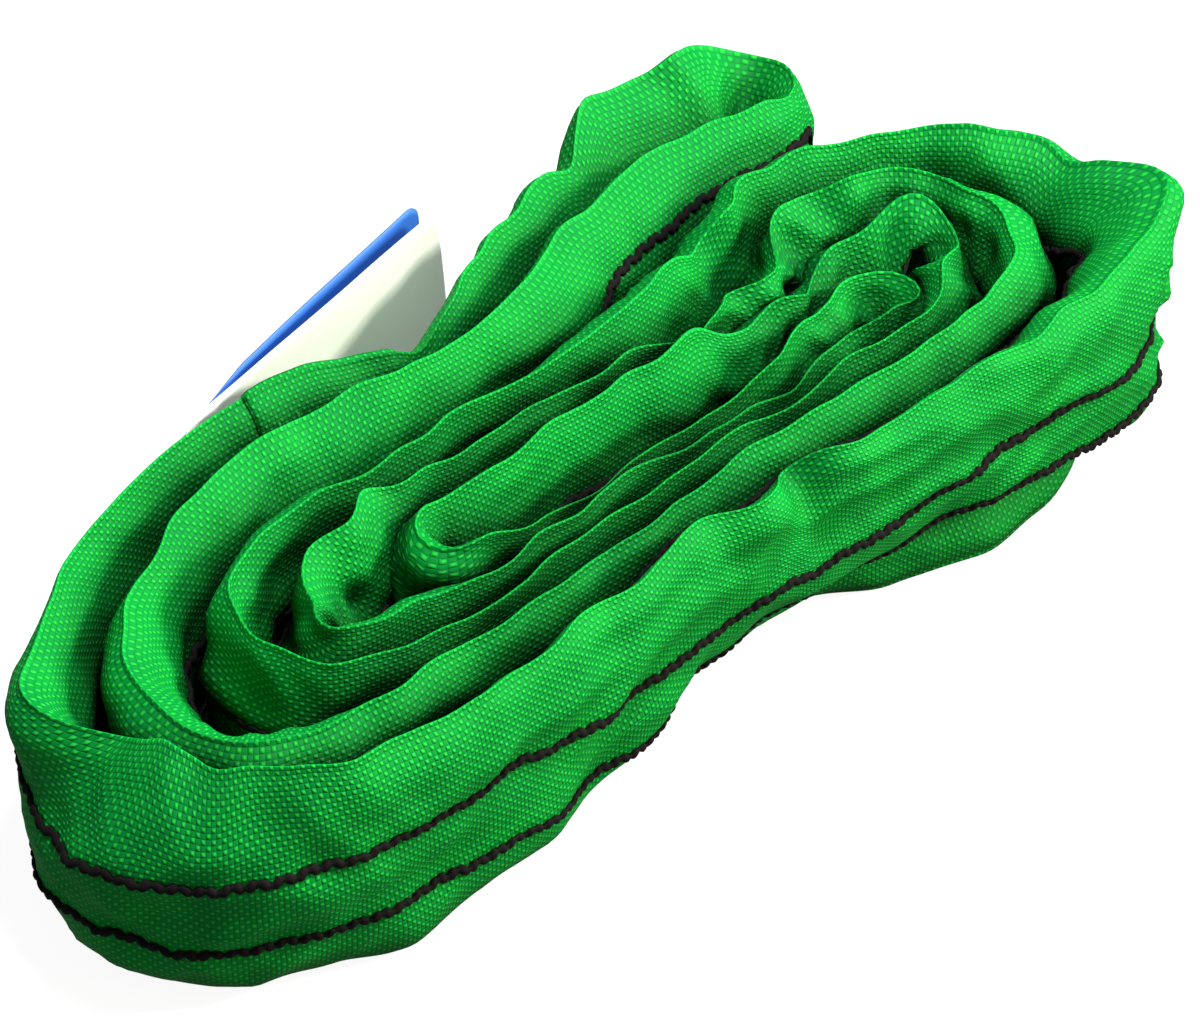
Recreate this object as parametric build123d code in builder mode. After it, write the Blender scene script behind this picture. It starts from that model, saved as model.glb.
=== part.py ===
from build123d import *
import os
from math import cos, radians, sin, tan

# A polyester round sling, about 2 m round, flattened to a double band and rolled up.
# The roll stands on the long edge of its band. Millimetres, +Z up, the roll's long axis along X,
# and the origin is at the middle of the roll's foot.

# ---- Driving dimensions ----
SLEEVE_WIDTH = 50.0  # the flat sleeve, from fold to fold
SLEEVE_THICKNESS = 5.8  # the flattened sleeve with its core
SLEEVE_WALL = 0.9
CORE_LAYS = 3  # the hank's turns lie in this many bundles, one above another
CORE_LAY_THICKNESS = 3.6
CORE_LAY_HEIGHT = 15.4
TAPE_THICKNESS = 0.12
MARKER_WIDTH = 2.4
MARKER_DEPTH = 0.2
MARKER_SPACING = 16.0  # between the two marker lines on one face
CUFF_THICKNESS = 0.5
STITCH_LENGTH = 2.2
STITCH_WIDTH = 0.7
STITCH_HEIGHT = 0.3
STITCH_PITCH = 3.2
LABEL_WIDTH = 46.0
LABEL_LENGTH = 82.0
LABEL_THICKNESS = 0.4
LABEL_CORNER = 3.0
LABEL_ROOT = 0.6  # from the fold to where the free leaf begins
SEWN_EDGE_LENGTH = 8.0
WHITE_LABEL_ANGLE = 21.5  # degrees from the X axis
BLUE_LABEL_ANGLE = 25.0
LABEL_HINGE_X = -70.2
LABEL_STANDOFF = 0.9  # from the sleeve to the fold that the labels swing about
LABEL_GAP = 0.7  # between the two labels at that fold
CLEARANCE = 0.05
EDGE_GAP = 0.3  # under a flat piece on the marker yarns and the gentle curve

# The plan windows where the closing seam and the joint in the core lie, on the back strand.
CUFF_WINDOW = ((-52, 18), (-20, 32))
TAPE_WINDOW = ((-48, 18), (-24, 32))
CUFF_STITCHES_X = (-48, -44, -28, -24)
SEWN_EDGE_X = -75
LABEL_STITCHES_X = (-77, -73)

MID_HEIGHT = SLEEVE_WIDTH / 2
HALF_THICKNESS = SLEEVE_THICKNESS / 2
CUFF_INNER = HALF_THICKNESS + MARKER_DEPTH + CLEARANCE
CUFF_OUTER = CUFF_INNER + CUFF_THICKNESS
CUFF_TOP = SLEEVE_WIDTH + CLEARANCE
CORE_BOTTOM = SLEEVE_WALL + 0.4
CORE_HEIGHT = SLEEVE_WIDTH - 2 * CORE_BOTTOM
CORE_PITCH = (CORE_HEIGHT - CORE_LAY_HEIGHT) / (CORE_LAYS - 1)
WHITE_FACE = HALF_THICKNESS + EDGE_GAP
BLUE_FACE = WHITE_FACE + LABEL_THICKNESS + CLEARANCE

# ---- The route of the sleeve's centre, seen from above ----
# The outer strand of the double band, from the free bight at the back, inwards.
FREE_BIGHT = [(88, 55), (83, 63.6), (72, 63.6)]
OUTER_BACK = [(56, 58), (38, 52), (20, 43), (3, 32), (-15, 24.5), (-38, 25), (-60, 24), (-78, 17)]
OUTER_LEFT = [(-94, 7), (-107, -5), (-118, -19), (-122.2, -33), (-118, -47), (-106, -58.5), (-88, -64)]
OUTER_FRONT = [(-65, -62), (-40, -57), (-15, -51), (5, -46), (28, -44), (50, -42), (72, -39), (94, -33)]
OUTER_RIGHT = [(112, -26), (121.3, -16), (121.3, -2), (114, 12), (102, 23), (85, 29.5)]
THIRD_BACK = [(66, 28), (48, 21), (29, 10), (8, 7.5), (-14, 5), (-38, 0.2), (-62, -4), (-77, -12)]
THIRD_FRONT = [(-82, -24), (-75, -36), (-58, -41), (-38, -38), (-15, -32.4), (5, -27.5), (28, -25.5)]
THIRD_RIGHT = [(50, -22), (70, -18), (83, -12), (89, -3), (84, 6), (71, 7.5)]
INNER_BACK = [(50, 0), (28, -4.5), (6, -7), (-14, -11.2)]
# The inner bight, and the inner strand back out to the free bight.
INNER_BIGHT = [(-30, -13), (-38, -14), (-41, -18), (-38, -22.3), (-30, -22)]
INNER_FRONT = [(-14, -18.2), (6, -13.5), (28, -11.5), (50, -7.5)]
FOURTH_RIGHT = [(65, -1.8), (73.5, -1.5), (74.5, -7.5), (66, -10.5)]
FOURTH_FRONT = [(50, -15), (28, -18.5), (6, -20.7), (-16, -25.4), (-38, -30.5), (-56, -33.7), (-68, -30)]
FOURTH_BACK = [(-70.5, -21.5), (-58, -11), (-37, -6.5), (-14, -2), (8, 0.5), (28, 2.5), (46, 12), (66, 19)]
SECOND_RIGHT = [(84, 18), (97, 8), (101, -6), (91, -19), (72, -26)]
SECOND_FRONT = [(50, -30), (28, -32.3), (6, -35), (-17, -39.8), (-40, -45.5), (-62, -49), (-84, -50)]
SECOND_LEFT = [(-97, -43), (-102, -28), (-97, -13), (-84, 1), (-64, 11)]
SECOND_BACK = [(-38, 12), (-14, 13.5), (5, 21), (22, 30), (40, 38), (58, 42), (74, 44), (84, 46)]

ROUTE = (
    FREE_BIGHT + OUTER_BACK + OUTER_LEFT + OUTER_FRONT + OUTER_RIGHT
    + THIRD_BACK + THIRD_FRONT + THIRD_RIGHT + INNER_BACK
    + INNER_BIGHT + INNER_FRONT + FOURTH_RIGHT + FOURTH_FRONT + FOURTH_BACK
    + SECOND_RIGHT + SECOND_FRONT + SECOND_LEFT + SECOND_BACK
)


def bend_radius(before, corner, after):
    """The largest easy bend that the two runs at a corner leave room for."""
    run_in = Vector(*corner) - Vector(*before)
    run_out = Vector(*after) - Vector(*corner)
    half_turn = radians(run_in.get_angle(run_out)) / 2
    return 0.45 * min(run_in.length, run_out.length) / tan(half_turn)


BENDS = [
    bend_radius(ROUTE[i - 1], ROUTE[i], ROUTE[(i + 1) % len(ROUTE)])
    for i in range(len(ROUTE))
]


# The back strand, where the closing seam and the labels are, as a line of its own.
BACK_FIRST = ROUTE.index((20, 43))
BACK_LAST = ROUTE.index((-94, 7))
with BuildLine() as back_stretch:
    FilletPolyline(*ROUTE[BACK_FIRST:BACK_LAST + 1], radius=BENDS[BACK_FIRST + 1:BACK_LAST])
BACK_LINE = back_stretch.wires()[0]


def shifted_corner(before, corner, after, distance):
    """A corner of the route moved a distance to the loop's outside, and the turn it makes there."""
    run_in = (Vector(*corner) - Vector(*before)).normalized()
    run_out = (Vector(*after) - Vector(*corner)).normalized()
    along = (run_in + run_out).normalized()
    outward = Vector(along.Y, -along.X)
    left_turn = run_in.X * run_out.Y > run_in.Y * run_out.X
    return Vector(*corner) + outward * (distance / along.dot(run_in)), left_turn


def loop_outline(distance):
    """The closed line a distance outside the route's centre, or inside it where negative."""
    corners = []
    bends = []
    for i, corner in enumerate(ROUTE):
        after = ROUTE[(i + 1) % len(ROUTE)]
        moved, left_turn = shifted_corner(ROUTE[i - 1], corner, after, distance)
        corners.append(moved)
        bends.append(BENDS[i] + (distance if left_turn else -distance))
    with BuildLine() as line:
        FilletPolyline(*corners, radius=bends, close=True)
    return line.wires()[0]


def back_outline(distance):
    """The closed line a distance all round the back strand."""
    with BuildLine() as line:
        offset(BACK_LINE, amount=distance, side=Side.BOTH)
    return line.wires()[0]


def layer(outer_line, inner_line=None, window=None):
    """A plan between two closed lines.

    A window, as the lowest and highest corner in plan, keeps only what lies inside it.
    """
    with BuildSketch() as plan:
        make_face(outer_line)
        if inner_line:
            make_face(inner_line, mode=Mode.SUBTRACT)
        if window:
            (left, low), (right, high) = window
            with Locations(((left + right) / 2, (low + high) / 2)):
                Rectangle(right - left, high - low, mode=Mode.INTERSECT)
    return plan.sketch


def raised(plan, bottom, height):
    """A solid with a given plan that stands on a height above the ground."""
    with BuildPart() as solid:
        with BuildSketch(Plane.XY.offset(bottom)):
            add(plan)
        extrude(amount=height)
    return solid.part


def finish(name, part):
    part.label = name
    export_step(part, f"parts/{name}.step")


def make_sleeve():
    """The woven tube: a flat hollow band, standing on edge, that runs all round the route."""
    cavity = HALF_THICKNESS - SLEEVE_WALL
    with BuildPart() as sleeve:
        add(raised(layer(OUTER_FACE, INNER_FACE), 0, SLEEVE_WIDTH))
        add(
            raised(
                layer(loop_outline(cavity), loop_outline(-cavity)),
                SLEEVE_WALL,
                SLEEVE_WIDTH - 2 * SLEEVE_WALL,
            ),
            mode=Mode.SUBTRACT,
        )
    finish("sleeve", sleeve.part)


def make_marker_yarn(name, height, outer_line, inner_line):
    """One black yarn along a face of the sleeve, all the way round."""
    with BuildPart() as yarn:
        add(raised(layer(outer_line, inner_line), height - MARKER_WIDTH / 2, MARKER_WIDTH))
    finish(name, yarn.part)


def make_core_hank():
    """The load-bearing yarn: one endless hank, whose turns fill the sleeve in a few flat lays."""
    half = CORE_LAY_THICKNESS / 2
    plan = layer(loop_outline(half), loop_outline(-half))
    with BuildPart() as hank:
        for lay in range(CORE_LAYS):
            add(raised(plan, CORE_BOTTOM + lay * CORE_PITCH, CORE_LAY_HEIGHT))
    finish("core_yarn_hank", hank.part)


def make_core_tape():
    """The tape round the hank where the yarn's two ends are joined."""
    inner = CORE_LAY_THICKNESS / 2 + CLEARANCE
    bottom = CORE_BOTTOM - CLEARANCE
    height = CORE_HEIGHT + 2 * CLEARANCE
    with BuildPart() as tape:
        add(
            raised(
                layer(back_outline(inner + TAPE_THICKNESS), window=TAPE_WINDOW),
                bottom - TAPE_THICKNESS,
                height + 2 * TAPE_THICKNESS,
            )
        )
        add(
            raised(layer(back_outline(inner), window=TAPE_WINDOW), bottom, height),
            mode=Mode.SUBTRACT,
        )
    finish("core_joint_tape", tape.part)


def make_cuff():
    """The end of the sleeve that laps over the other end: two faces and the upper fold."""
    outer_line = back_outline(CUFF_OUTER)
    with BuildPart() as cuff:
        add(raised(layer(outer_line, back_outline(CUFF_INNER), CUFF_WINDOW), 0, CUFF_TOP))
        add(raised(layer(outer_line, window=CUFF_WINDOW), CUFF_TOP, CUFF_THICKNESS))
    finish("sleeve_end_cuff", cuff.part)


def back_strand_plane(x, distance, front=False):
    """A plane on the back or front face of the back strand at x.

    Its x runs up, and its z leaves the face.
    """
    around = back_outline(distance)
    hits = sorted(Line((x, 5), (x, 60)).intersect(around), key=lambda point: point.Y)
    surface = hits[0] if front else hits[-1]
    along = around.tangent_at(around.param_at_point(surface))
    across = along.cross(Vector(0, 0, 1))
    leaves = across if (across.Y > 0) != front else across * -1
    return Plane(origin=surface + Vector(0, 0, MID_HEIGHT), x_dir=(0, 0, 1), z_dir=leaves)


def make_stitches(name, planes):
    """Vertical rows of sewing thread, one on each plane."""
    count = int((LABEL_WIDTH - STITCH_LENGTH) / STITCH_PITCH)
    with BuildPart() as stitches:
        for plane in planes:
            with BuildSketch(plane):
                with GridLocations(STITCH_PITCH, 1, count, 1):
                    SlotOverall(STITCH_LENGTH, STITCH_WIDTH)
            extrude(amount=STITCH_HEIGHT)
    finish(name, stitches.part)


def make_sewn_edge(name, distance):
    """The end of a label that is sewn flat against the sleeve."""
    face = back_strand_plane(SEWN_EDGE_X, HALF_THICKNESS).offset(distance - HALF_THICKNESS)
    with BuildPart() as edge:
        with BuildSketch(face):
            Rectangle(LABEL_WIDTH, SEWN_EDGE_LENGTH)
        extrude(amount=LABEL_THICKNESS)
    finish(name, edge.part)


def make_label_leaf(name, root, angle):
    """The free leaf of a label: a thin card, rounded at its free corners."""
    along = Vector(cos(radians(angle)), sin(radians(angle)), 0)
    face = Plane(origin=root, x_dir=along, z_dir=along.cross(Vector(0, 0, 1)))
    with BuildPart() as leaf:
        with BuildSketch(face):
            with Locations((LABEL_ROOT + LABEL_LENGTH / 2, 0)):
                RectangleRounded(LABEL_LENGTH, LABEL_WIDTH, LABEL_CORNER)
        extrude(amount=LABEL_THICKNESS / 2, both=True)
    finish(name, leaf.part)


os.makedirs("parts", exist_ok=True)

OUTER_FACE = loop_outline(HALF_THICKNESS)
INNER_FACE = loop_outline(-HALF_THICKNESS)
OVER_OUTER_FACE = loop_outline(HALF_THICKNESS + MARKER_DEPTH)
OVER_INNER_FACE = loop_outline(-HALF_THICKNESS - MARKER_DEPTH)

make_sleeve()
make_cuff()
make_core_hank()
make_core_tape()
for row, up in (("lower", -1), ("upper", 1)):
    marker_height = MID_HEIGHT + up * MARKER_SPACING / 2
    make_marker_yarn(f"marker_yarn_{row}_outside", marker_height, OVER_OUTER_FACE, OUTER_FACE)
    make_marker_yarn(f"marker_yarn_{row}_inside", marker_height, INNER_FACE, OVER_INNER_FACE)
make_stitches(
    "cuff_stitches_outer_face", [back_strand_plane(x, CUFF_OUTER) for x in CUFF_STITCHES_X]
)
make_stitches(
    "cuff_stitches_inner_face", [back_strand_plane(x, CUFF_OUTER, True) for x in CUFF_STITCHES_X]
)

make_sewn_edge("white_label_sewn_edge", WHITE_FACE)
make_sewn_edge("blue_label_sewn_edge", BLUE_FACE)
sewn_face = back_strand_plane(SEWN_EDGE_X, HALF_THICKNESS)
thread_lift = BLUE_FACE + LABEL_THICKNESS - HALF_THICKNESS
make_stitches(
    "label_stitches",
    [
        Plane(
            origin=sewn_face.from_local_coords((0, x - SEWN_EDGE_X, thread_lift)),
            x_dir=sewn_face.x_dir,
            z_dir=sewn_face.z_dir,
        )
        for x in LABEL_STITCHES_X
    ],
)

hinge_face = back_strand_plane(LABEL_HINGE_X, HALF_THICKNESS)
hinge = hinge_face.origin + hinge_face.z_dir * LABEL_STANDOFF
make_label_leaf("white_label_leaf", hinge, WHITE_LABEL_ANGLE)
make_label_leaf("blue_label_leaf", hinge + hinge_face.z_dir * LABEL_GAP, BLUE_LABEL_ANGLE)

print("sleeve length", round(loop_outline(0).length, 1))
print("tightest bend", round(min(BENDS), 2))
print("plan box", OVER_OUTER_FACE.bounding_box())
print("label hinge", hinge)
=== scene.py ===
"""The looks of a rolled-up polyester round sling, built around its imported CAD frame."""

import math

import bpy
import numpy as np
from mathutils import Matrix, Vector, noise


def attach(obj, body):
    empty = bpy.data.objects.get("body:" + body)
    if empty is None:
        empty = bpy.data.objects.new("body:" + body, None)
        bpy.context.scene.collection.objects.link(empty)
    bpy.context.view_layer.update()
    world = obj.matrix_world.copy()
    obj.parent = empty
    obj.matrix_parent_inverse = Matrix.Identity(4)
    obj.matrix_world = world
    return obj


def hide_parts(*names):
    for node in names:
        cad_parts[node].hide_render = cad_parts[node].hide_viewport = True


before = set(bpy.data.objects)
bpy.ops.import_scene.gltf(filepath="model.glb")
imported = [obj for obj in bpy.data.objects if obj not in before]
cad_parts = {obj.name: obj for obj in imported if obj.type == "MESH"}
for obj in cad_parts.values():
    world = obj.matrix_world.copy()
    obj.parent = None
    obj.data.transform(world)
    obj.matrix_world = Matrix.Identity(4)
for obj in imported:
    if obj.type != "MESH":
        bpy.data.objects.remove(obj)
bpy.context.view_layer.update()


# ---- The camera, in metres ----
CAMERA_AZIMUTH = math.radians(-33)
CAMERA_ELEVATION = math.radians(43)
CAMERA_DISTANCE = 0.85
CAMERA_TARGET = Vector((0.0005, -0.0125, 0.0255))
CAMERA_LENS = 136.2
SENSOR_WIDTH = 36


def make_camera():
    """A camera that looks at its target, from its angles round the sling and its distance."""
    back = Vector((
        math.sin(CAMERA_AZIMUTH) * math.cos(CAMERA_ELEVATION),
        -math.cos(CAMERA_AZIMUTH) * math.cos(CAMERA_ELEVATION),
        math.sin(CAMERA_ELEVATION),
    ))
    data = bpy.data.cameras.new("camera")
    data.lens = CAMERA_LENS
    data.sensor_width = SENSOR_WIDTH
    camera = bpy.data.objects.new("camera", data)
    camera.location = CAMERA_TARGET + back * CAMERA_DISTANCE
    camera.rotation_euler = (-back).to_track_quat("-Z", "Y").to_euler()
    bpy.context.scene.collection.objects.link(camera)
    bpy.context.scene.camera = camera


make_camera()

MM = 0.001
ROOT = "sling"  # the body that every piece rides on, apart from the labels' free leaves

# ---- Driving sizes, in millimetres ----
HALF_WIDTH = 25.0  # of the sleeve, laid flat
WEAVE_PITCH = 0.87
RING_SPACING = 1.45
POINTS_ROUND = 64
FLOOR_GAP = 0.2
BLUR_REACH = 5  # in rings

# The stuffed sleeve's section.
LIP_HALF_THICKNESS = 0.55
LIP_SQUARENESS = 12
FREE_FACE_BULGE = 6.5
MOST_BULGE = 8.5
LEAST_BULGE = 2.2
FREE_ROOM = 30.0  # a face with this much room beside it has no wrap next to it
HALF_GAP = 0.15  # between two wraps
BODY_TOP = 0.965  # the share of the half height that is stuffed; the rest is the lip
SLACK_BULGE = 3.2  # a face is slack up to this bulge
PLUMP_RANGE = 3.5  # and plump at this much more
FOOT_POWERS = (3.6, 0.6)  # how squarely the body ends below
SLACK_POWERS = (2.2, 0.8)  # and above, where it is slack
PLUMP_CHANGES = (1.6, -0.22)  # what plumpness adds to those
LEAST_SHARE = 0.45  # of the bulge, that wrinkles leave
LEAN_POWER = 1.5  # how the lean and the kick grow towards the edges
FACE_SHARE = 0.97  # of the half height, that markers and sewn edges may reach

# The marker yarns, as chains of beads.
MARKER_HEIGHTS = (("lower", -10.5), ("upper", 6.5))  # on each face, from the sleeve's middle
BEAD_LENGTH = 2.0
BEAD_WIDTH = 2.3
BEAD_DEPTH = 1.2
BEAD_WAIST = 0.4  # the share of the width between two beads
BEAD_SWAY = 0.3
BEAD_RISE = 0.3
BEAD_STEPS = 4
BEAD_POINTS_ROUND = 8

# The core and the tape on its joint. Both are drawn in from the sleeve's surface.
CORE_POINTS_ROUND = 20
CORE_LIFT = -0.35
CORE_SHRINK = 0.86
TAPE_X = (-48, -24)
TAPE_LIFT = -0.2
TAPE_SHRINK = 0.87

# The closing cuff and the sewing thread.
CUFF_X = (-52, -20)
CUFF_LIFT = 0.5
CUFF_HEM_DROP = 0.25
CUFF_STITCHES_X = (-48, -44, -28, -24)
LABEL_STITCHES_X = (-77, -73)
STITCH_LENGTH = 2.2
STITCH_PITCH = 3.2
STITCH_WIDTH = 0.7
STITCH_LEVELS = ((-0.2, 1.0), (0.3, 0.6))  # height off the cloth, and share of the full size
STITCH_HEIGHTS = [STITCH_PITCH * k for k in range(-6, 7)]

# The labels.
LABEL_WIDTH = 46.0
LABEL_LENGTH = 82.0
LABEL_THICKNESS = 0.3
LABEL_CORNER = 4.0
LABEL_FOOT = 4.0
LABEL_ANGLE = 21.5  # degrees from the X axis
LABEL_GAP = 0.7
LABEL_ROOT_DROP = 5.0
LABEL_RIPPLE = 0.5
LABEL_SKEW = 3.5  # how much longer the leaf reaches at its foot
LEAF_COLUMNS = 60
CLOSER_AT_END = 1.3  # the columns stand closer together by the round corners
LEAF_ROWS = 24
HINGE = (-70.5, 24.0)
ROOT_OFFSET = 0.6  # from the hinge to the leaf's first column
SEWN_EDGE_X = (-79, -71)
SEWN_EDGE_HEIGHTS = (-23, 20)
SEWN_EDGE_ROWS = 15
WHITE_EDGE_LIFT = 0.5
BLUE_EDGE_LIFT = 0.95
LABEL_THREAD_LIFT = 1.2

# The outer back strand, which the labels are sewn to.
OUTER_BACK_ENDS = 330.0  # along the sleeve
OUTER_BACK_Y = 5.0  # it lies behind this
# The most that it may swell at each x, to stay clear of the labels.
BESIDE_LABELS = ((-96, 20), (-80, 2.6), (-62, 2.5), (-50, 4.6), (-38, 9), (-30, 20))
CALM_BELOW = 9.0  # where it may swell less than this, its edges wander less too

# ---- How the slack cloth wanders, turns, tucks, crumples and folds ----
# Waves along the sleeve: their height, their length and the rest of their place in the noise.
LEAN_WAVES = ((1.8, 24, (1.5, 40)), (1.3, 9, (7.5, 41)))
TOP_WAVES = ((1.8, 30, (3.5, 42)), (1.3, 10, (5.5, 43)))
CRUMPLED_LEAN_WAVE = (8, 14, (6.5, 46))
CRUMPLED_TOP_WAVE = (6, 12, (8.5, 47))
CRUMPLE_SINK = 0.35
KICK_WAVE = (3.4, 15, (9.5, 44))
FOOT_WAVE = (1.2, 16, (2.5, 45))
# Folds: what brings them, their height, how far they slant off the route and their length along
# it, the same across it, how much of their height sinks, and their seed.
FOLDS = (
    ("slack", 1.5, 0.6, 40, -0.10, 11, 0.5, 2),
    ("bend", 2.6, 0.7, 11, 0, 34, 0.5, 4),
    ("slack", 0.8, -0.9, 17, 0.3, 60, 0.4, 6),
    ("crumple", 2.2, 0.5, 8, 0, 13, 0.5, 7),
)
FOLD_SHARPNESS = 2.4
# Swellings and fine ripples: their height, their lengths along and across, and their seed.
SWELLING = (1.5, 24, 14, 0)
RIPPLE = (0.4, 5, 6, 9)
OUTSIDE_SEED = 3.0
INSIDE_SEED = 11.0
BEND_SHARE = 14  # of the folds at a bend, for each radian turned in a millimetre
# How far the sleeve's faces have turned about its core, up on the outside face, by the distance
# along it. It rolls under along the front, where its lower edge lifts.
SLEEVE_TURNS = (
    (0, 0), (340, 0), (392, -12), (425, -14), (455, -9), (500, -6), (560, 0),
    (1880, 0), (1930, 9), (1985, 10), (2020, 0),
)
# Short tucks in the upper edge: the distance along the sleeve, the reach, and how far the edge
# goes to the outside and up. The first four make the corner folded over at the near left.
TUCKS = (
    (240, 6, 2, 1), (253, 6, -3, -2), (268, 8, -3, 1), (283, 6, 1, -1),
    (12, 4, 4, -4), (26, 5, -3, 3), (47, 5, 3, 2), (60, 4, -2, -3), (118, 5, 0, -3),
    (402, 7, 5, 1), (414, 5, -4, -5), (426, 6, 2, 1), (520, 6, 5, 2), (536, 5, -3, -3),
)
# The crumpled inner folds, as ovals seen from above: their middle, their reach and how much.
CRUMPLES = (((64, 4), (40, 25), 1.0), ((-52, -19), (24, 15), 0.6))
CRUMPLE_FALL = 2.0  # how sharply they end
CRUMPLED_LOOSENESS = 3.0  # how much more the edges wander there
CRUMPLED_DEPTH = 1.3  # and how much deeper the folds are

# ---- Stations along the sleeve, from the free bight inwards and back out ----
# Each is (x, y, fill, lean, top, kick, foot): the centre in plan; how much of the room beside it
# the stuffed sleeve takes; how far its upper edge leans to the outside of the endless loop and
# the height of that edge; and how far its lower edge leans to the outside, and its height.
FREE_BIGHT = [
    (88, 55, 0.75, 4, 47, -1.2, 1), (83, 63.6, 0.9, 3, 50, -1.8, 0), (72, 63.6, 1.2, 8, 52, -3, 0),
]
OUTER_BACK = [
    (56, 58, 1.1, 7, 51, -3.6, 0), (38, 52, 1.0, 6, 50, -3.6, 0), (20, 43, 0.95, 5, 50, -3, 0),
    (3, 32, 0.9, 4, 48, -2.4, 0), (-15, 24.5, 0.9, 1, 46, -0.6, 0), (-38, 25, 1.0, 4, 50, -2.4, 0),
    (-60, 24, 0.9, 2, 50, -1, 0), (-78, 17, 0.8, 2.5, 50, -1, 0),
]
OUTER_LEFT = [
    (-94, 7, 0.85, 4, 49, -1.8, 0), (-107, -5, 0.9, 5, 49, -2.4, 0), (-118, -19, 0.95, 5, 48, -3, 0),
    (-122.2, -33, 0.95, -9, 47, -2, 0), (-118, -47, 0.9, -9, 48, 0, 0), (-106, -58.5, 0.8, -7, 50, 0, 0),
    (-88, -64, 0.75, 0, 50, 1, 0),
]
OUTER_FRONT = [
    (-65, -62, 0.9, 1, 50, 1, 0), (-40, -57, 0.9, 0, 50, 0, 1), (-15, -51, 0.9, 0, 51, 0, 8),
    (5, -46, 0.8, -1, 50, 0, 15), (28, -44, 0.75, -1, 50, 0, 17), (50, -42, 0.8, 0, 50, 0, 16),
    (72, -39, 0.9, 1, 50, 0, 15), (94, -33, 1.0, 2, 50, 1, 9),
]
OUTER_RIGHT = [
    (112, -26, 1.1, 3, 50, 3, 3), (121.3, -16, 1.3, 4, 50, 4, 0), (121.3, -2, 1.3, 3, 50, 3, 0),
    (114, 12, 1.1, 3, 50, 0, 0), (102, 23, 0.9, 1, 50, -0.6, 0), (85, 29.5, 0.9, 1, 50, -0.6, 0),
]
THIRD_BACK = [
    (66, 28, 0.9, 1, 50, -0.6, 0), (48, 21, 1.0, 1, 50, -0.6, 0), (29, 10, 1.0, 1, 49, -0.6, 0),
    (8, 7.5, 1.0, 0, 49, 0, 0), (-14, 5, 1.0, 0, 49, 0, 0), (-38, 0.2, 1.0, 0, 50, 0, 0),
    (-62, -4, 0.9, 1, 49, -0.6, 0), (-77, -12, 0.8, 0, 48, 0, 0),
]
THIRD_FRONT = [
    (-82, -24, 0.6, 0, 47, 0, 0), (-75, -36, 0.6, 0, 46, 0, 0), (-58, -41, 0.8, 0, 46, 0, 0),
    (-38, -38, 0.9, 0, 45, 0, 0), (-15, -32.4, 1.0, 0, 44, 0, 0), (5, -27.5, 1.0, 0, 45, 0, 0),
    (28, -25.5, 1.0, 0, 46, 0, 0),
]
THIRD_RIGHT = [
    (50, -22, 1.0, 0, 47, 0, 0), (70, -18, 1.0, 0, 48, 0, 0), (83, -12, 0.9, 0, 48, 0, 0),
    (89, -3, 0.9, 0, 46, 0, 0), (84, 6, 0.9, 0, 49, 0, 0), (71, 7.5, 0.9, 0, 47, 0, 0),
]
INNER_BACK = [
    (50, 0, 1.0, 1, 46, -0.6, 0), (28, -4.5, 1.0, 3, 47, 0, 0), (6, -7, 1.0, 3, 47, 0, 0),
    (-14, -11.2, 1.0, 2, 47, 0, 0),
]
INNER_BIGHT = [
    (-30, -13, 1.0, 0, 47, 0, 0), (-38, -14, 1.0, 0, 48, 0, 0), (-41, -18, 1.0, 2, 48, -1.2, 0),
    (-38, -22.3, 1.0, 2, 46, -1.2, 0), (-30, -22, 1.0, 2, 45, -1.2, 0),
]
INNER_FRONT = [
    (-14, -18.2, 1.0, 1, 39, 0, 0), (6, -13.5, 1.0, 1, 38, 0, 0), (28, -11.5, 1.0, 1, 38, 0, 0),
    (50, -7.5, 1.0, 1, 40, 0, 0),
]
FOURTH_RIGHT = [
    (65, -1.8, 0.9, 0, 46, 0, 0), (73.5, -1.5, 0.9, 0, 47, 0, 0), (74.5, -7.5, 0.9, 0, 45, 0, 0),
    (66, -10.5, 1.0, 0, 44, 0, 0),
]
FOURTH_FRONT = [
    (50, -15, 1.0, 0, 42, 0, 0), (28, -18.5, 1.0, 0, 41, 0, 0), (6, -20.7, 1.0, 0, 41, 0, 0),
    (-16, -25.4, 1.0, 0, 42, 0, 0), (-38, -30.5, 0.9, 0, 44, 0, 0), (-56, -33.7, 0.8, 0, 45, 0, 0),
    (-68, -30, 0.7, 0, 46, 0, 0),
]
FOURTH_BACK = [
    (-70.5, -21.5, 0.7, 0, 47, 0, 0), (-58, -11, 0.9, 0, 48, 0, 0), (-37, -6.5, 1.0, 0, 49, 0, 0),
    (-14, -2, 1.0, 0, 48, 0, 0), (8, 0.5, 1.0, 0, 48, 0, 0), (28, 2.5, 1.0, 0, 48, 0, 0),
    (46, 12, 1.0, 0, 47, 0, 0), (66, 19, 1.0, 0, 47, 0, 0),
]
SECOND_RIGHT = [
    (84, 18, 1.0, 0, 49, 0, 0), (97, 8, 0.9, 0, 49, 0, 0), (101, -6, 0.9, 0, 48, -6, 0),
    (91, -19, 0.9, 0, 48, -18, 0), (72, -26, 0.9, 0, 48, -15, 0),
]
SECOND_FRONT = [
    (50, -30, 0.9, 0, 48, -6, 0), (28, -32.3, 0.9, 0, 48, 0, 0), (6, -35, 1.0, 0, 47, 0, 0),
    (-17, -39.8, 1.0, 0, 47, 0, 0), (-40, -45.5, 0.9, 0, 47, 0, 0), (-62, -49, 0.9, 0, 46, 0, 0),
    (-84, -50, 0.9, -1, 46, 0.6, 0),
]
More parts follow.
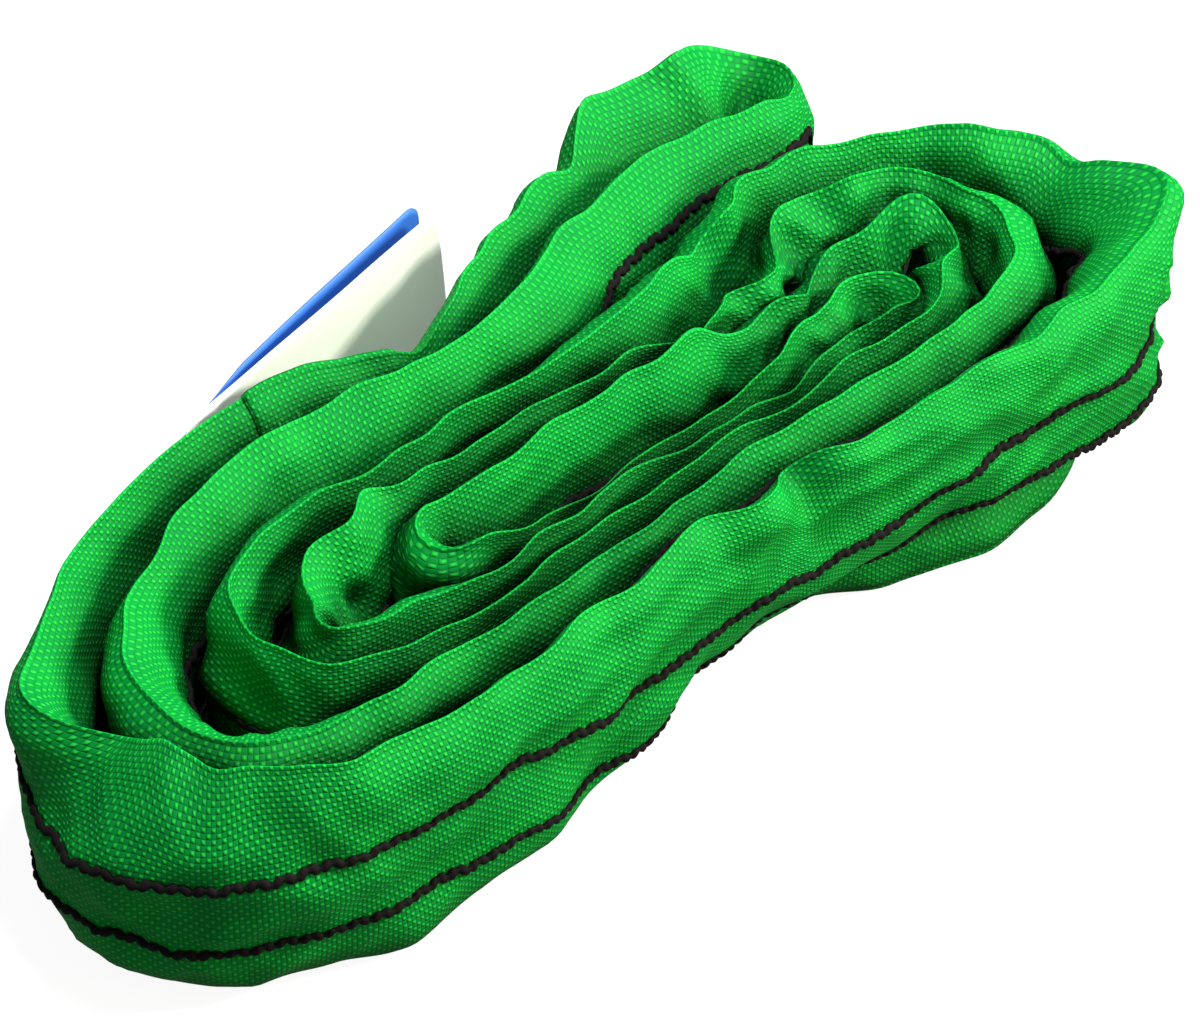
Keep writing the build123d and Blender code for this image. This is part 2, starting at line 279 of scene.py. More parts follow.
SECOND_LEFT = [
    (-97, -43, 0.85, -2, 46, 1.2, 0), (-102, -28, 0.85, -3, 47, 1.8, 0), (-97, -13, 0.9, -3, 47, 1.8, 0),
    (-84, 1, 0.9, -3, 47, 1.8, 0), (-64, 11, 1.0, -5, 49, 3, 0),
]
SECOND_BACK = [
    (-38, 12, 1.0, -5, 49, 3, 0), (-14, 13.5, 1.0, -5, 48, 3, 0), (5, 21, 1.0, -4, 49, 2.4, 0),
    (22, 30, 1.0, -5, 50, 3, 0), (40, 38, 1.0, -5, 50, 3, 0), (58, 42, 1.0, -6, 50, 3.6, 0),
    (74, 44, 0.9, -5, 50, 3, 0), (84, 46, 0.9, -3, 49, 1.8, 0),
]
STATIONS = (
    FREE_BIGHT + OUTER_BACK + OUTER_LEFT + OUTER_FRONT + OUTER_RIGHT
    + THIRD_BACK + THIRD_FRONT + THIRD_RIGHT + INNER_BACK
    + INNER_BIGHT + INNER_FRONT + FOURTH_RIGHT + FOURTH_FRONT + FOURTH_BACK
    + SECOND_RIGHT + SECOND_FRONT + SECOND_LEFT + SECOND_BACK
)


# ---- The smooth line through the stations ----

def smooth_loop(stations, steps=24):
    """A closed quadratic spline with the stations as control points."""
    control = np.array(stations, float)
    before = np.roll(control, 1, 0)
    after = np.roll(control, -1, 0)
    rows = []
    for i in range(len(control)):
        start = (before[i] + control[i]) / 2
        end = (control[i] + after[i]) / 2
        for step in range(steps):
            t = step / steps
            rows.append((1 - t) ** 2 * start + 2 * t * (1 - t) * control[i] + t * t * end)
    return np.array(rows)


def evenly(rows, spacing):
    """The same closed line at even distances along its plan, and those distances."""
    closed = np.vstack([rows, rows[:1]])
    runs = np.hypot(*np.diff(closed[:, :2], axis=0).T)
    along = np.concatenate([[0.0], np.cumsum(runs)])
    count = int(round(along[-1] / spacing))
    wanted = np.arange(count) * along[-1] / count
    even = [np.interp(wanted, along, closed[:, k]) for k in range(closed.shape[1])]
    return np.stack(even, 1), wanted, along[-1]


def blurred(values, reach):
    """Values round the loop, smoothed over a number of rings."""
    window = np.hanning(2 * reach + 3)[1:-1]
    window /= window.sum()
    wrapped = np.concatenate([values[-reach:], values, values[:reach]])
    return np.convolve(wrapped, window, "valid")


def room_beside(centre, normal, along, length):
    """How far the next wrap's centre is on each side of every ring."""
    no_wrap = FREE_ROOM + 10.0
    nearest_wrap = 0.5
    same_strand = 12.0  # rings this near along the sleeve are the same strand
    ring_reach = 2.0  # how far ahead or behind a wrap's ring still counts as beside
    room = np.full((2, len(centre)), no_wrap)
    for i in range(len(centre)):
        offset = centre - centre[i]
        apart = np.abs(along - along[i])
        apart = np.minimum(apart, length - apart)
        across = offset @ normal[i]
        ahead = offset @ np.array([-normal[i][1], normal[i][0]])
        beside = (np.abs(ahead) < ring_reach) & (apart > same_strand)
        for side, sign in enumerate((1, -1)):
            found = across[beside] * sign
            found = found[found > nearest_wrap]
            if len(found):
                room[side, i] = found.min()
    return room


def fold(x, y, seed):
    """A crease from 0 in the smooth cloth to 1 along the sharp top of a fold."""
    return 1 - min(1.0, FOLD_SHARPNESS * abs(noise.noise(Vector((x, y, seed)))))


def wave(place, size, length, seed):
    """A wave of the slack cloth at a place along the sleeve."""
    return size * noise.noise(Vector((place / length, *seed)))


def body_share(up, bulge):
    """The stuffed body's share of its bulge, at a height from -1 at its foot to 1 at its top."""
    height = min(1.0, abs(up) / BODY_TOP)
    squareness, taper = FOOT_POWERS
    if up > 0:
        plump = min(1.0, max(0.0, (bulge - SLACK_BULGE) / PLUMP_RANGE))
        squareness, taper = (a + b * plump for a, b in zip(SLACK_POWERS, PLUMP_CHANGES))
    return (1 - height ** squareness) ** taper


class Sleeve:
    """The sleeve's surface, as rings of points that follow the route."""

    def __init__(self):
        line, self.along, self.length = evenly(smooth_loop(STATIONS), RING_SPACING)
        self.count = len(line)
        self.centre = line[:, :2]
        self.fill, self.lean, self.top, self.kick, self.foot = line[:, 2:].T
        step = np.roll(self.centre, -1, 0) - np.roll(self.centre, 1, 0)
        step /= np.hypot(*step.T)[:, None]
        self.normal = np.stack([step[:, 1], -step[:, 0]], 1)
        turn = np.cross(np.roll(step, 1, 0), np.roll(step, -1, 0)) / (2 * RING_SPACING)
        self.turn = blurred(np.abs(turn), BLUR_REACH)
        self.outer_back = (self.centre[:, 1] > OUTER_BACK_Y) & (self.along < OUTER_BACK_ENDS)
        self.crumple = self.crumpled()
        self.bulge = self.bulges()
        self.wander()

    def crumpled(self):
        """How crumpled each ring is: most in the inner folds at the right."""
        crumple = np.zeros(self.count)
        for middle, reach, amount in CRUMPLES:
            away = (((self.centre - middle) / reach) ** 2).sum(1)
            crumple = np.maximum(crumple, amount * np.exp(-CRUMPLE_FALL * away ** 2))
        return crumple

    def bulges(self):
        """How far the stuffed sleeve swells on each side of its centre, less beside the labels."""
        room = room_beside(self.centre, self.normal, self.along, self.length)
        bulges = []
        for side in (0, 1):
            half = np.minimum(room[side] / 2 - HALF_GAP, MOST_BULGE)
            half = np.where(room[side] > FREE_ROOM, FREE_FACE_BULGE, half)
            bulges.append(np.maximum(half * self.fill, LEAST_BULGE))
        places, limits = zip(*BESIDE_LABELS)
        beside_labels = np.interp(self.centre[:, 0], places, limits)
        self.limit = np.where(self.outer_back, beside_labels, limits[0])
        bulges[0] = np.minimum(bulges[0], self.limit)
        return [blurred(half, BLUR_REACH) for half in bulges]

    def wander(self):
        """The edges wander from side to side, and up and down, as slack cloth does."""
        for i, s in enumerate(self.along):
            calm = min(1.0, self.limit[i] / CALM_BELOW)
            crumple = self.crumple[i]
            loose = (1 + CRUMPLED_LOOSENESS * crumple) * calm
            for numbers in LEAN_WAVES:
                self.lean[i] += loose * wave(s, *numbers)
            for numbers in TOP_WAVES:
                self.top[i] += loose * wave(s, *numbers)
            self.lean[i] += crumple * wave(s, *CRUMPLED_LEAN_WAVE)
            self.top[i] += crumple * (wave(s, *CRUMPLED_TOP_WAVE) - CRUMPLE_SINK * CRUMPLED_TOP_WAVE[0])
            for place, reach, sideways, lift in TUCKS:
                share = math.exp(-(((s - place) / reach) ** 2))
                self.lean[i] += sideways * share
                self.top[i] += lift * share
            self.kick[i] += calm * wave(s, *KICK_WAVE)
            self.foot[i] += max(0, wave(s, *FOOT_WAVE))

    def ring_near(self, x):
        """The ring on the outer back strand nearest to an x in plan."""
        away = np.abs(self.centre[:, 0] - x)
        return int(np.argmin(np.where(self.outer_back, away, np.inf)))

    def point(self, i, angle, lift=0.0, shrink=1.0):
        """A point on ring i: angle 0 is the loop's outside face, and a quarter turn is the top.

        lift takes it off the surface, and shrink draws it in towards the section's middle.
        """
        up = math.sin(angle)
        outside = math.cos(angle) >= 0
        bulge = self.bulge[0 if outside else 1][i]
        swell = max(LEAST_SHARE * bulge, bulge + self.wrinkle(i, up, outside))
        if outside:
            swell = min(swell, self.limit[i])
        lip = LIP_HALF_THICKNESS * math.sqrt(max(0.0, 1 - abs(up) ** LIP_SQUARENESS))
        out = max(lip, swell * body_share(up, bulge)) * shrink ** 3 + lift
        above = max(up * shrink, 0) ** LEAN_POWER
        below = max(-up * shrink, 0) ** LEAN_POWER
        across = self.lean[i] * above + self.kick[i] * below + (out if outside else -out)
        middle = (self.top[i] + self.foot[i]) / 2
        half_height = (self.top[i] - self.foot[i]) / 2
        z = middle + (half_height * shrink + lift) * up
        x, y = self.centre[i] + self.normal[i] * across
        return Vector((x, y, max(z, FLOOR_GAP)))

    def wrinkle(self, i, up, outside):
        """Folds in the cloth, as a height off the stuffed shape."""
        s = self.along[i]
        v = up * HALF_WIDTH
        first_seed = OUTSIDE_SEED if outside else INSIDE_SEED
        shares = {
            "slack": 1.0,
            "bend": min(1.0, BEND_SHARE * self.turn[i]),
            "crumple": self.crumple[i],
        }
        height = 0.0
        for size, length, across_length, seed in (SWELLING, RIPPLE):
            height += size * noise.noise(Vector((s / length, v / across_length, first_seed + seed)))
        for cause, size, slant, length, across_slant, across_length, sunk, seed in FOLDS:
            along = (s + slant * v) / length
            across = (v + across_slant * s) / across_length
            height += size * shares[cause] * (fold(along, across, first_seed + seed) - sunk)
        return height * (1 + CRUMPLED_DEPTH * self.crumple[i])


# ---- Building surfaces ----

def finished_mesh(name, points, faces, uvs=None):
    """A smooth mesh object from points in millimetres, with a named map for its weave."""
    mesh = bpy.data.meshes.new(name)
    mesh.from_pydata([tuple(c * MM for c in p) for p in points], [], faces)
    if uvs is not None:
        layer = mesh.uv_layers.new(name="weave")
        layer.data.foreach_set("uv", np.array(uvs, float).ravel() * MM)
    mesh.polygons.foreach_set("use_smooth", [True] * len(mesh.polygons))
    mesh.update()
    piece = bpy.data.objects.new(name, mesh)
    bpy.context.scene.collection.objects.link(piece)
    return piece


def loft(name, rings, closed, along=None, around=None):
    """A tube through rings of points. along and around are the weave's distances, one more
    than there are rings and points, in millimetres."""
    round_count = len(rings[0])
    points = [point for ring in rings for point in ring]
    faces = []
    uvs = []
    for i in range(len(rings) if closed else len(rings) - 1):
        k = (i + 1) % len(rings)
        for j in range(round_count):
            m = (j + 1) % round_count
            faces.append((
                i * round_count + j, k * round_count + j,
                k * round_count + m, i * round_count + m,
            ))
            if along is not None:
                for a, b in ((i, j), (i + 1, j), (i + 1, j + 1), (i, j + 1)):
                    uvs.append((along[a], around[b]))
    return finished_mesh(name, points, faces, uvs or None)


def even_angles(count):
    """Even angles round a section."""
    return [2 * math.pi * j / count for j in range(count)]


def mean_girth(rings):
    """The distances round the average ring, stretched to a whole number of weave repeats."""
    total = np.zeros(POINTS_ROUND + 1)
    sample = rings[::7]  # every seventh ring is enough for an average
    for ring in sample:
        steps = [(ring[(j + 1) % POINTS_ROUND] - ring[j]).length for j in range(POINTS_ROUND)]
        total += np.concatenate([[0.0], np.cumsum(steps)])
    total /= len(sample)
    repeats = round(total[-1] / (2 * WEAVE_PITCH))
    return total * repeats * 2 * WEAVE_PITCH / total[-1]


def woven_lengths(sleeve):
    """The distance along at each ring, stretched to a whole number of weave repeats."""
    repeats = round(sleeve.length / (2 * WEAVE_PITCH))
    ends = np.concatenate([sleeve.along, [sleeve.length]])
    return ends * repeats * 2 * WEAVE_PITCH / sleeve.length


def make_sleeve(sleeve):
    """The woven sleeve as one closed surface, and how far round it the upper lip lies."""
    angles = even_angles(POINTS_ROUND)
    rings = [[sleeve.point(i, angle) for angle in angles] for i in range(sleeve.count)]
    around = mean_girth(rings)
    woven = loft("woven_sleeve", rings, True, woven_lengths(sleeve), around)
    return woven, float(around[POINTS_ROUND // 4])


def make_cuff(sleeve):
    """The short second layer over the sleeve's closing seam."""
    angles = even_angles(POINTS_ROUND)
    first = sleeve.ring_near(CUFF_X[1])
    last = sleeve.ring_near(CUFF_X[0])
    rings = []
    for i in range(first, last + 1):
        lift = CUFF_LIFT - CUFF_HEM_DROP if i in (first, last) else CUFF_LIFT
        rings.append([sleeve.point(i, angle, lift) for angle in angles])
    rings.insert(0, [sleeve.point(first, angle) for angle in angles])
    rings.append([sleeve.point(last, angle) for angle in angles])
    along = [k * RING_SPACING for k in range(len(rings) + 1)]
    return loft("sleeve_end_cuff_cloth", rings, False, along, mean_girth(rings))


def height_angle(height):
    """The angle on the outside face at a height above the sleeve's middle, short of the lips."""
    return math.asin(max(-FACE_SHARE, min(FACE_SHARE, height / HALF_WIDTH)))


def marker_height(sleeve, i, height, outside):
    """A marker's height above the middle where the sleeve has turned about its core."""
    places, turns = zip(*SLEEVE_TURNS)
    turned = float(np.interp(sleeve.along[i % sleeve.count], places, turns))
    return height + (turned if outside else -turned)


def surface_line(sleeve, height, outside, first, last, turning=False):
    """Points along the sleeve's face, with the way off the face and the way up it.

    Where turning is set, the line follows the turns of the sleeve about its core.
    """
    small_angle = 0.04
    line = []
    for k in range(first, last + 1):
        i = k % sleeve.count
        angle = height_angle(marker_height(sleeve, i, height, outside) if turning else height)
        if not outside:
            angle = math.pi - angle
        here = sleeve.point(i, angle)
        ahead = sleeve.point((k + 1) % sleeve.count, angle)
        above = sleeve.point(i, angle + (small_angle if outside else -small_angle))
        forward = (ahead - here).normalized()
        up = (above - here).normalized()
        off = forward.cross(up).normalized() * (1 if outside else -1)
        line.append((here, off, up))
    return line


def along_line(line, place):
    """The point, the way off and the way up at a fractional place in a surface line."""
    k = min(int(place), len(line) - 2)
    t = place - k
    return tuple(line[k][n].lerp(line[k + 1][n], t) for n in range(3))


def make_marker_yarn(sleeve, row, height, outside):
    """A chain of beads where the black yarn rises through the weave."""
    line = surface_line(sleeve, height, outside, 0, sleeve.count, True)
    bead_count = round(sleeve.length / BEAD_LENGTH)
    rings = []
    for k in range(bead_count * BEAD_STEPS):
        middle, off, up = along_line(line, k * sleeve.count / (bead_count * BEAD_STEPS))
        swell = BEAD_WAIST + (1 - BEAD_WAIST) * abs(math.sin(math.pi * k / BEAD_STEPS))
        sway = BEAD_SWAY * math.sin(math.pi * (k / BEAD_STEPS + 0.5))
        ring = []
        for angle in even_angles(BEAD_POINTS_ROUND):
            rise = BEAD_DEPTH / 2 * swell * math.sin(angle) + BEAD_RISE
            width = BEAD_WIDTH / 2 * swell * math.cos(angle) + sway
            ring.append(middle + off * rise + up * width)
        rings.append(ring)
    face = "outside" if outside else "inside"
    return loft(f"marker_beads_{row}_{face}", rings, True)


def inner_rings(sleeve, indices, lift, shrink):
    """Rings that lie inside the sleeve."""
    angles = even_angles(CORE_POINTS_ROUND)
    return [[sleeve.point(i, angle, lift, shrink) for angle in angles] for i in indices]


def make_core(sleeve):
    """The hank of load-bearing yarn that fills the sleeve."""
    rings = inner_rings(sleeve, range(0, sleeve.count, 2), CORE_LIFT, CORE_SHRINK)
    return loft("core_yarns", rings, True)


def make_tape(sleeve):
    """The turns of tape over the joint in the core."""
    indices = range(sleeve.ring_near(TAPE_X[1]), sleeve.ring_near(TAPE_X[0]) + 1)
    return loft("core_tape", inner_rings(sleeve, indices, TAPE_LIFT, TAPE_SHRINK), False)


def box_faces(base):
    """The six faces of a box whose eight corners start at base, four below and four above."""
    corners = (
        (0, 3, 2, 1), (4, 5, 6, 7), (0, 1, 5, 4), (1, 2, 6, 5), (2, 3, 7, 6), (3, 0, 4, 7),
    )
    return [tuple(base + c for c in face) for face in corners]


def make_stitches(sleeve, name, columns, outside, lift):
    """Columns of stitches up a face of the sleeve, in sewing thread."""
    points = []
    faces = []
    for x in columns:
        i = sleeve.ring_near(x)
        for height in STITCH_HEIGHTS:
            middle, off, up = surface_line(sleeve, height, outside, i, i)[0]
            forward = up.cross(off)
            middle = middle + off * lift
            base = len(points)
            for rise, share in STITCH_LEVELS:
                for a, b in ((-1, -1), (1, -1), (1, 1), (-1, 1)):
                    along = up * (a * STITCH_LENGTH / 2 * share)
                    aside = forward * (b * STITCH_WIDTH / 2 * share)
                    points.append(middle + off * rise + along + aside)
            faces += box_faces(base)
    return finished_mesh(name, points, faces)


def make_sewn_edge(sleeve, name, lift):
    """The end of a label, laid flat on the sleeve's outside face and sewn down."""
    first = sleeve.ring_near(SEWN_EDGE_X[1])
    last = sleeve.ring_near(SEWN_EDGE_X[0])
    low, high = SEWN_EDGE_HEIGHTS
    angles = [
        height_angle(low + (high - low) * k / SEWN_EDGE_ROWS) for k in range(SEWN_EDGE_ROWS + 1)
    ]
    columns = [[sleeve.point(i, angle, lift) for angle in angles] for i in range(first, last + 1)]
    return sheet_mesh(name, columns)


def sheet_mesh(name, columns):
    """A thin sheet through columns of points, with half its thickness on each side."""
    rows = len(columns[0])
    points = [point for column in columns for point in column]
    faces = []
    uvs = []
    for i in range(len(columns) - 1):
        for j in range(rows - 1):
            here = i * rows + j
            faces.append((here, here + rows, here + rows + 1, here + 1))
            for a, b in ((i, j), (i + 1, j), (i + 1, j + 1), (i, j + 1)):
                uvs.append((a / (len(columns) - 1) / MM, b / (rows - 1) / MM))
    piece = finished_mesh(name, points, faces, uvs)
    solid = piece.modifiers.new("thickness", "SOLIDIFY")
    solid.thickness = LABEL_THICKNESS * MM
    solid.offset = 0
    return piece


def label_edge(t, end_height):
    """The height of a label's upper or lower edge at a share t of its length, which ends in a
    round corner."""
    past = max(0.0, t * LABEL_LENGTH - (LABEL_LENGTH - LABEL_CORNER))
    drop = LABEL_CORNER - math.sqrt(max(0.0, LABEL_CORNER ** 2 - past ** 2))
    return end_height - drop if end_height > HALF_WIDTH else end_height + drop


def bow(t, root, middle, end):
    """The gap at a share t of a leaf's length, on a parabola through three gaps."""
    return (1 - t) * (1 - 2 * t) * root + 4 * t * (1 - t) * middle + t * (2 * t - 1) * end


def make_label_leaf(name, gaps, sag, hidden_share):
    """A label's free leaf: a sheet that stands on edge behind the sleeve, bowed along its length.

    gaps are how far it stands off its line at its root, middle and end, and sag is how far its
    foot goes out at its end. Its upper edge drops over the hidden share of it, next to the root.
    """
    angle = math.radians(LABEL_ANGLE)
    forward = Vector((math.cos(angle), math.sin(angle), 0))
    aside = Vector((-math.sin(angle), math.cos(angle), 0))
    root = Vector((HINGE[0], HINGE[1], 0)) + forward * ROOT_OFFSET
    columns = []
    for i in range(LEAF_COLUMNS + 1):
        t = 1 - (1 - i / LEAF_COLUMNS) ** CLOSER_AT_END
        low = label_edge(t, LABEL_FOOT)
        high = label_edge(t, LABEL_FOOT + LABEL_WIDTH)
        high -= LABEL_ROOT_DROP * max(0.0, 1 - t / hidden_share)
        column = []
        for j in range(LEAF_ROWS + 1):
            u = j / LEAF_ROWS
            ripple = LABEL_RIPPLE * noise.noise(Vector((t * 3, u * 2, 30 + gaps[2])))
            off = bow(t, *gaps) + sag * t * (1 - u) ** 2 + ripple * t
            reach = t * (LABEL_LENGTH + LABEL_SKEW * (1 - u))
            height = Vector((0, 0, low + (high - low) * u))
            column.append(root + forward * reach + aside * off + height)
        columns.append(column)
    return sheet_mesh(name, columns)


# ---- Materials ----

# The weave's colours: painted shade between the yarn crossings, the yarn's own green, and a painted
# highlight on the crossings' tops.
GREEN_SHADE = (0.0, 0.2, 0.034)
GREEN = (0.001, 0.36, 0.035)
GREEN_PAINTED_HIGHLIGHT = (0.02, 0.54, 0.05)
WEAVE_DEPTH = 0.3
KNUCKLE_POWER = 0.7  # how flat the top of a yarn's crossing is
KNUCKLE_SHARE = 0.6  # of the weave's height; the rest is which yarn lies over the other
OVER_SHARE = 0.4
UNEVEN_SCALE = 90  # patches of lighter and darker yarn, per metre
UNEVEN_AMOUNT = 0.5
LIP_REACH = 0.9  # how far from the fold the painted highlight on the upper edge reaches
LIP_HIGHLIGHT_GAIN = 0.5
PAINTED_SHADE_REACH = 10.0  # how near another surface must be for the painted shade to darken the cloth
PAINTED_SHADE_POWER = 1.2


def new_material(name, colour=None, roughness=0.6):
    """A material with its colour and roughness on the shader's own sockets."""
    material = bpy.data.materials.new(name)
    material.use_nodes = True
    nodes = material.node_tree.nodes
    shader = nodes["Principled BSDF"]
    if colour:
        shader.inputs["Base Color"].default_value = (*colour, 1)
    shader.inputs["Roughness"].default_value = roughness
    return material, nodes, material.node_tree.links, shader


def math_node(nodes, links, operation, *values):
    """One sum in a node tree, of sockets or plain numbers."""
    node = nodes.new("ShaderNodeMath")
    node.operation = operation
    for socket, value in zip(node.inputs, values):
        if isinstance(value, (int, float)):
            socket.default_value = value
        else:
            links.new(value, socket)
    return node.outputs[0]


def add_bump(nodes, links, shader, height, depth, strength):
    """A bump of a real depth in metres on a shader's normal."""
    bump = nodes.new("ShaderNodeBump")
    bump.inputs["Strength"].default_value = strength
    bump.inputs["Distance"].default_value = depth
    links.new(height, bump.inputs["Height"])
    links.new(bump.outputs[0], shader.inputs["Normal"])


def noise_height(nodes, links, scale, detail=2.0):
    """A soft noise over the object, at a scale per metre."""
    place = nodes.new("ShaderNodeTexCoord")
    texture = nodes.new("ShaderNodeTexNoise")
    texture.inputs["Scale"].default_value = scale
    texture.inputs["Detail"].default_value = detail
    links.new(place.outputs["Object"], texture.inputs["Vector"])
    return texture.outputs["Fac"]


def colour_ramp(nodes, links, value, stops):
    """A ramp through (position, colour) stops."""
    ramp = nodes.new("ShaderNodeValToRGB")
    elements = ramp.color_ramp.elements
    while len(elements) < len(stops):
        elements.new(0.5)
    for element, (position, colour) in zip(elements, stops):
        element.position = position
        element.color = (*colour, 1)
    links.new(value, ramp.inputs[0])
    return ramp.outputs[0]


def painted_lip_highlight(nodes, links, around, lip_place):
    """1 on the faces, and more on the fold: a painted highlight where the upper edge's yarns catch the
    light.
    """
    apart = math_node(nodes, links, "SUBTRACT", around, lip_place * MM)
    distance = math_node(nodes, links, "ABSOLUTE", apart)
    near = math_node(nodes, links, "DIVIDE", distance, LIP_REACH * MM)
    peak = math_node(nodes, links, "SUBTRACT", 1.0, near)
    peak = math_node(nodes, links, "MAXIMUM", peak, 0.0)
    return math_node(nodes, links, "MULTIPLY_ADD", peak, LIP_HIGHLIGHT_GAIN, 1.0)


def with_painted_crease_shade(nodes, links, colour, painted_highlight_factor):
    """The colour, lifted where asked by a painted highlight, and darkened by painted shade where the
    cloth lies close in a crease.
    """
    # Ambient occlusion, painted into the colour as shade.
    hidden = nodes.new("ShaderNodeAmbientOcclusion")
    hidden.samples = 6
    hidden.inputs["Distance"].default_value = PAINTED_SHADE_REACH * MM
    open_share = math_node(nodes, links, "POWER", hidden.outputs["AO"], PAINTED_SHADE_POWER)
    amount = math_node(nodes, links, "MULTIPLY", open_share, painted_highlight_factor)
    scale = nodes.new("ShaderNodeVectorMath")
    scale.operation = "SCALE"
    links.new(colour, scale.inputs[0])
    links.new(amount, scale.inputs["Scale"])
    return scale.outputs[0]


def woven_green(lip_place):
    """Plain-woven polyester: a bump on every crossing of the yarns, a painted highlight for its lit top,
    and painted shade between the crossings.
    """
    material, nodes, links, shader = new_material("woven_green", roughness=0.58)
    uv = nodes.new("ShaderNodeUVMap")
    uv.uv_map = "weave"
    split = nodes.new("ShaderNodeSeparateXYZ")
    links.new(uv.outputs[0], split.inputs[0])
    turn = math.pi / (WEAVE_PITCH * MM)
    along, around = [
        math_node(nodes, links, "SINE", math_node(nodes, links, "MULTIPLY", distance, turn))
        for distance in split.outputs[:2]
    ]
    crossing = math_node(nodes, links, "MULTIPLY", along, around)
    flat_top = math_node(nodes, links, "ABSOLUTE", crossing)
    flat_top = math_node(nodes, links, "POWER", flat_top, KNUCKLE_POWER)
    knuckle = math_node(nodes, links, "MULTIPLY", flat_top, KNUCKLE_SHARE)
    over = math_node(nodes, links, "MULTIPLY", crossing, OVER_SHARE)
    height = math_node(nodes, links, "ADD", over, knuckle)
    patches = noise_height(nodes, links, UNEVEN_SCALE, 3)
    uneven = math_node(nodes, links, "MULTIPLY", patches, UNEVEN_AMOUNT)
    uneven = math_node(nodes, links, "SUBTRACT", uneven, UNEVEN_AMOUNT / 2)
    # Painted shade between the yarn crossings and a painted highlight on their tops, over the yarn's own
    # uneven tone.
    shade = math_node(nodes, links, "ADD", height, uneven)
    colour = colour_ramp(nodes, links, shade, (
        (0.0, GREEN_SHADE), (0.45, GREEN), (1.0, GREEN_PAINTED_HIGHLIGHT),
    ))
    # A painted highlight along the upper lip.
    painted_highlight_factor = painted_lip_highlight(nodes, links, split.outputs[1], lip_place)
    # Painted shade where the cloth lies close in a crease.
    links.new(with_painted_crease_shade(nodes, links, colour, painted_highlight_factor), shader.inputs["Base Color"])
    shader.inputs["Specular IOR Level"].default_value = 0.1
    add_bump(nodes, links, shader, height, WEAVE_DEPTH * MM, 0.9)
    return material


def plain_thread(name, colour, roughness, scale):
    """Yarn or thread in one colour, with a fine fibre bump."""
    material, nodes, links, shader = new_material(name, colour, roughness)
    shader.inputs["Specular IOR Level"].default_value = 0.2
    add_bump(nodes, links, shader, noise_height(nodes, links, scale), 0.1 * MM, 0.5)
    return material


def label_cloth(name, colour, glow):
    """Coated label cloth that a little light passes through."""
    material, nodes, links, shader = new_material(name, colour, 0.55)
    shader.inputs["Subsurface Weight"].default_value = glow
    shader.inputs["Subsurface Radius"].default_value = (0.002, 0.002, 0.002)
    add_bump(nodes, links, shader, noise_height(nodes, links, 1500), 0.05 * MM, 0.4)
    return material


# ---- The pieces ----

def declare(piece, body, node, material):
    """A piece with its material, on the body it rides on, with the CAD node that it stands for hidden.
    """
    piece.data.materials.append(material)
    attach(piece, body)
    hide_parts(node)


sleeve = Sleeve()
black = plain_thread("marker_black", (0.004, 0.002, 0.0025), 0.85, 2500)
thread = plain_thread("sewing_thread", (0.01, 0.2, 0.03), 0.6, 2500)
yarn = plain_thread("core_yarn", (0.75, 0.74, 0.7), 0.7, 1200)
tape = plain_thread("core_tape", (0.55, 0.45, 0.25), 0.4, 400)
white = label_cloth("label_white", (0.93, 0.96, 0.9), 0.3)
blue = label_cloth("label_blue", (0.03, 0.16, 0.6), 0.0)

woven, lip_place = make_sleeve(sleeve)
green = woven_green(lip_place)
declare(woven, ROOT, "sleeve", green)
declare(make_cuff(sleeve), ROOT, "sleeve_end_cuff", green)
declare(make_core(sleeve), ROOT, "core_yarn_hank", yarn)
declare(make_tape(sleeve), ROOT, "core_joint_tape", tape)
for row, height in MARKER_HEIGHTS:
    for outside in (True, False):
        beads = make_marker_yarn(sleeve, row, height, outside)
        node = f"marker_yarn_{row}_" + ("outside" if outside else "inside")
        declare(beads, ROOT, node, black)
for outside, face in ((True, "outer"), (False, "inner")):
    stitches = make_stitches(sleeve, f"cuff_thread_{face}", CUFF_STITCHES_X, outside, CUFF_LIFT)
    declare(stitches, ROOT, f"cuff_stitches_{face}_face", thread)
white_edge = make_sewn_edge(sleeve, "white_label_sewn_cloth", WHITE_EDGE_LIFT)
blue_edge = make_sewn_edge(sleeve, "blue_label_sewn_cloth", BLUE_EDGE_LIFT)
declare(white_edge, ROOT, "white_label_sewn_edge", white)
declare(blue_edge, ROOT, "blue_label_sewn_edge", blue)
label_thread = make_stitches(sleeve, "label_thread", LABEL_STITCHES_X, True, LABEL_THREAD_LIFT)
declare(label_thread, ROOT, "label_stitches", thread)
white_leaf = make_label_leaf("white_label_cloth", (0, 0, 0), 0, 0.12)
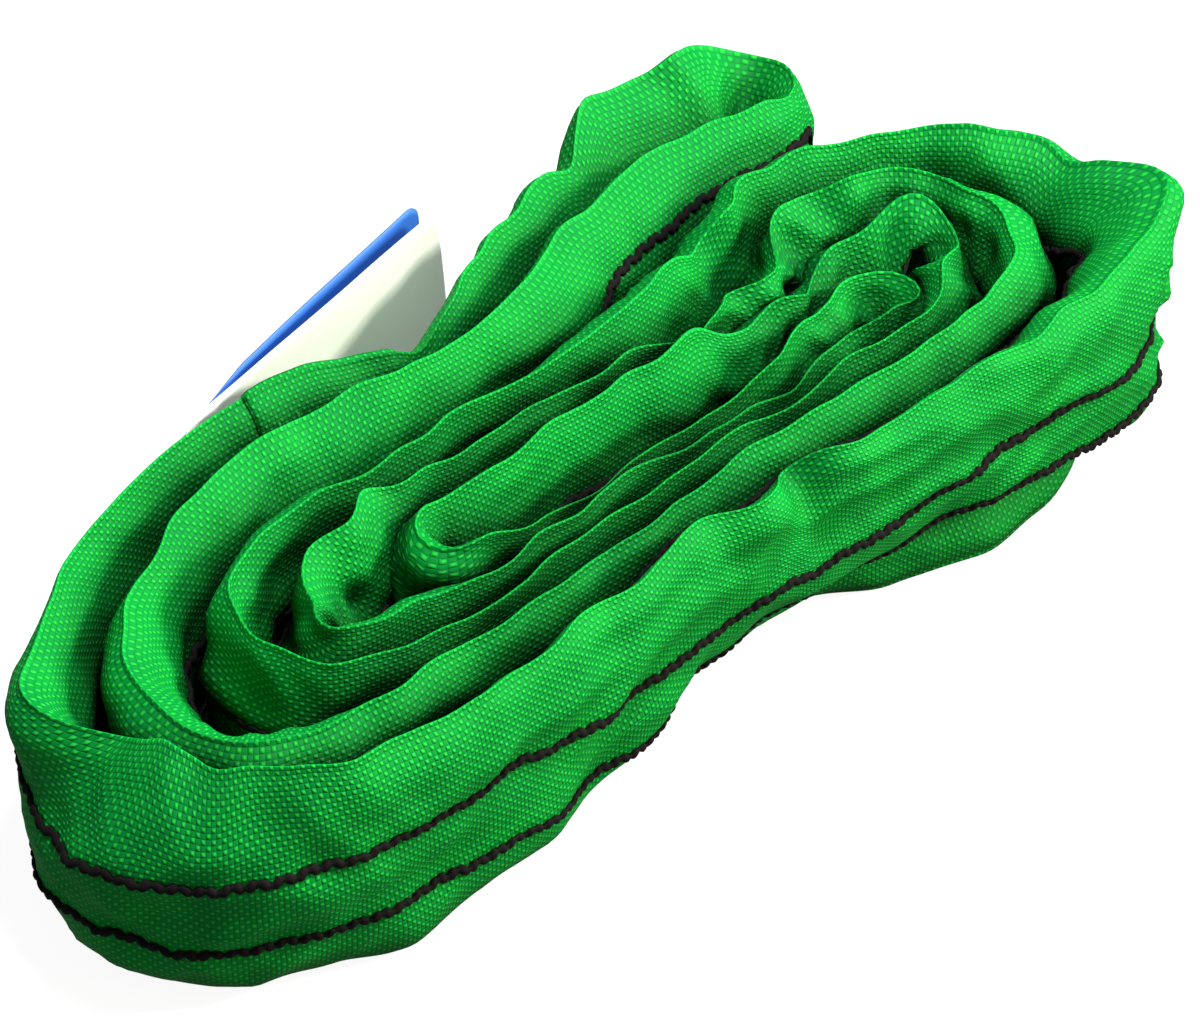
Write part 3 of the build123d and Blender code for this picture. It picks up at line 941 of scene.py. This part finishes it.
blue_leaf = make_label_leaf("blue_label_cloth", (LABEL_GAP, 3.2, 4.7), 3.0, 0.3)
declare(white_leaf, "white_label", "white_label_leaf", white)
declare(blue_leaf, "blue_label", "blue_label_leaf", blue)


# ---- Floor and light ----

FLOOR_GLOW = 0.92
WORLD_STRENGTH = 0.22
WHITE_LIGHT = (1.0, 1.0, 1.0)
# Each light's name, place and size in metres, power in watts, and colour.
LIGHTS = (
    ("key", (1.0, -0.55, 0.65), 0.25, 19, (1.0, 0.98, 0.82)),
    ("top", (0.25, -0.1, 1.2), 0.3, 19, WHITE_LIGHT),
    ("low", (0.8, -1.0, 0.15), 0.4, 5, (1.0, 0.92, 0.5)),
)


def make_floor():
    """A white floor that gives the sling no colour of its own."""
    half = 3.0
    corners = [(-half, -half, 0), (half, -half, 0), (half, half, 0), (-half, half, 0)]
    mesh = bpy.data.meshes.new("floor")
    mesh.from_pydata(corners, [], [(0, 1, 2, 3)])
    floor = bpy.data.objects.new("floor", mesh)
    bpy.context.scene.collection.objects.link(floor)
    material, _, _, shader = new_material("pale_floor", (0.25, 0.25, 0.25), 0.95)
    shader.inputs["Emission Color"].default_value = (1, 1, 1, 1)
    shader.inputs["Emission Strength"].default_value = FLOOR_GLOW
    mesh.materials.append(material)
    floor.visible_diffuse = False
    floor.visible_glossy = False


def make_area_light(name, place, size, power, colour):
    """A square soft light aimed at the sling."""
    data = bpy.data.lights.new(name, "AREA")
    data.size = size
    data.energy = power
    data.color = colour
    light = bpy.data.objects.new(name, data)
    light.location = place
    aim = Vector((0, 0, 0.03)) - Vector(place)
    light.rotation_euler = aim.to_track_quat("-Z", "Y").to_euler()
    bpy.context.scene.collection.objects.link(light)


def make_world():
    """An even white light from all round."""
    world = bpy.data.worlds.new("studio")
    world.use_nodes = True
    background = world.node_tree.nodes["Background"]
    background.inputs["Color"].default_value = (1, 1, 1, 1)
    background.inputs["Strength"].default_value = WORLD_STRENGTH
    bpy.context.scene.world = world


make_floor()
for light in LIGHTS:
    make_area_light(*light)
make_world()
bpy.context.scene.view_settings.view_transform = "Standard"
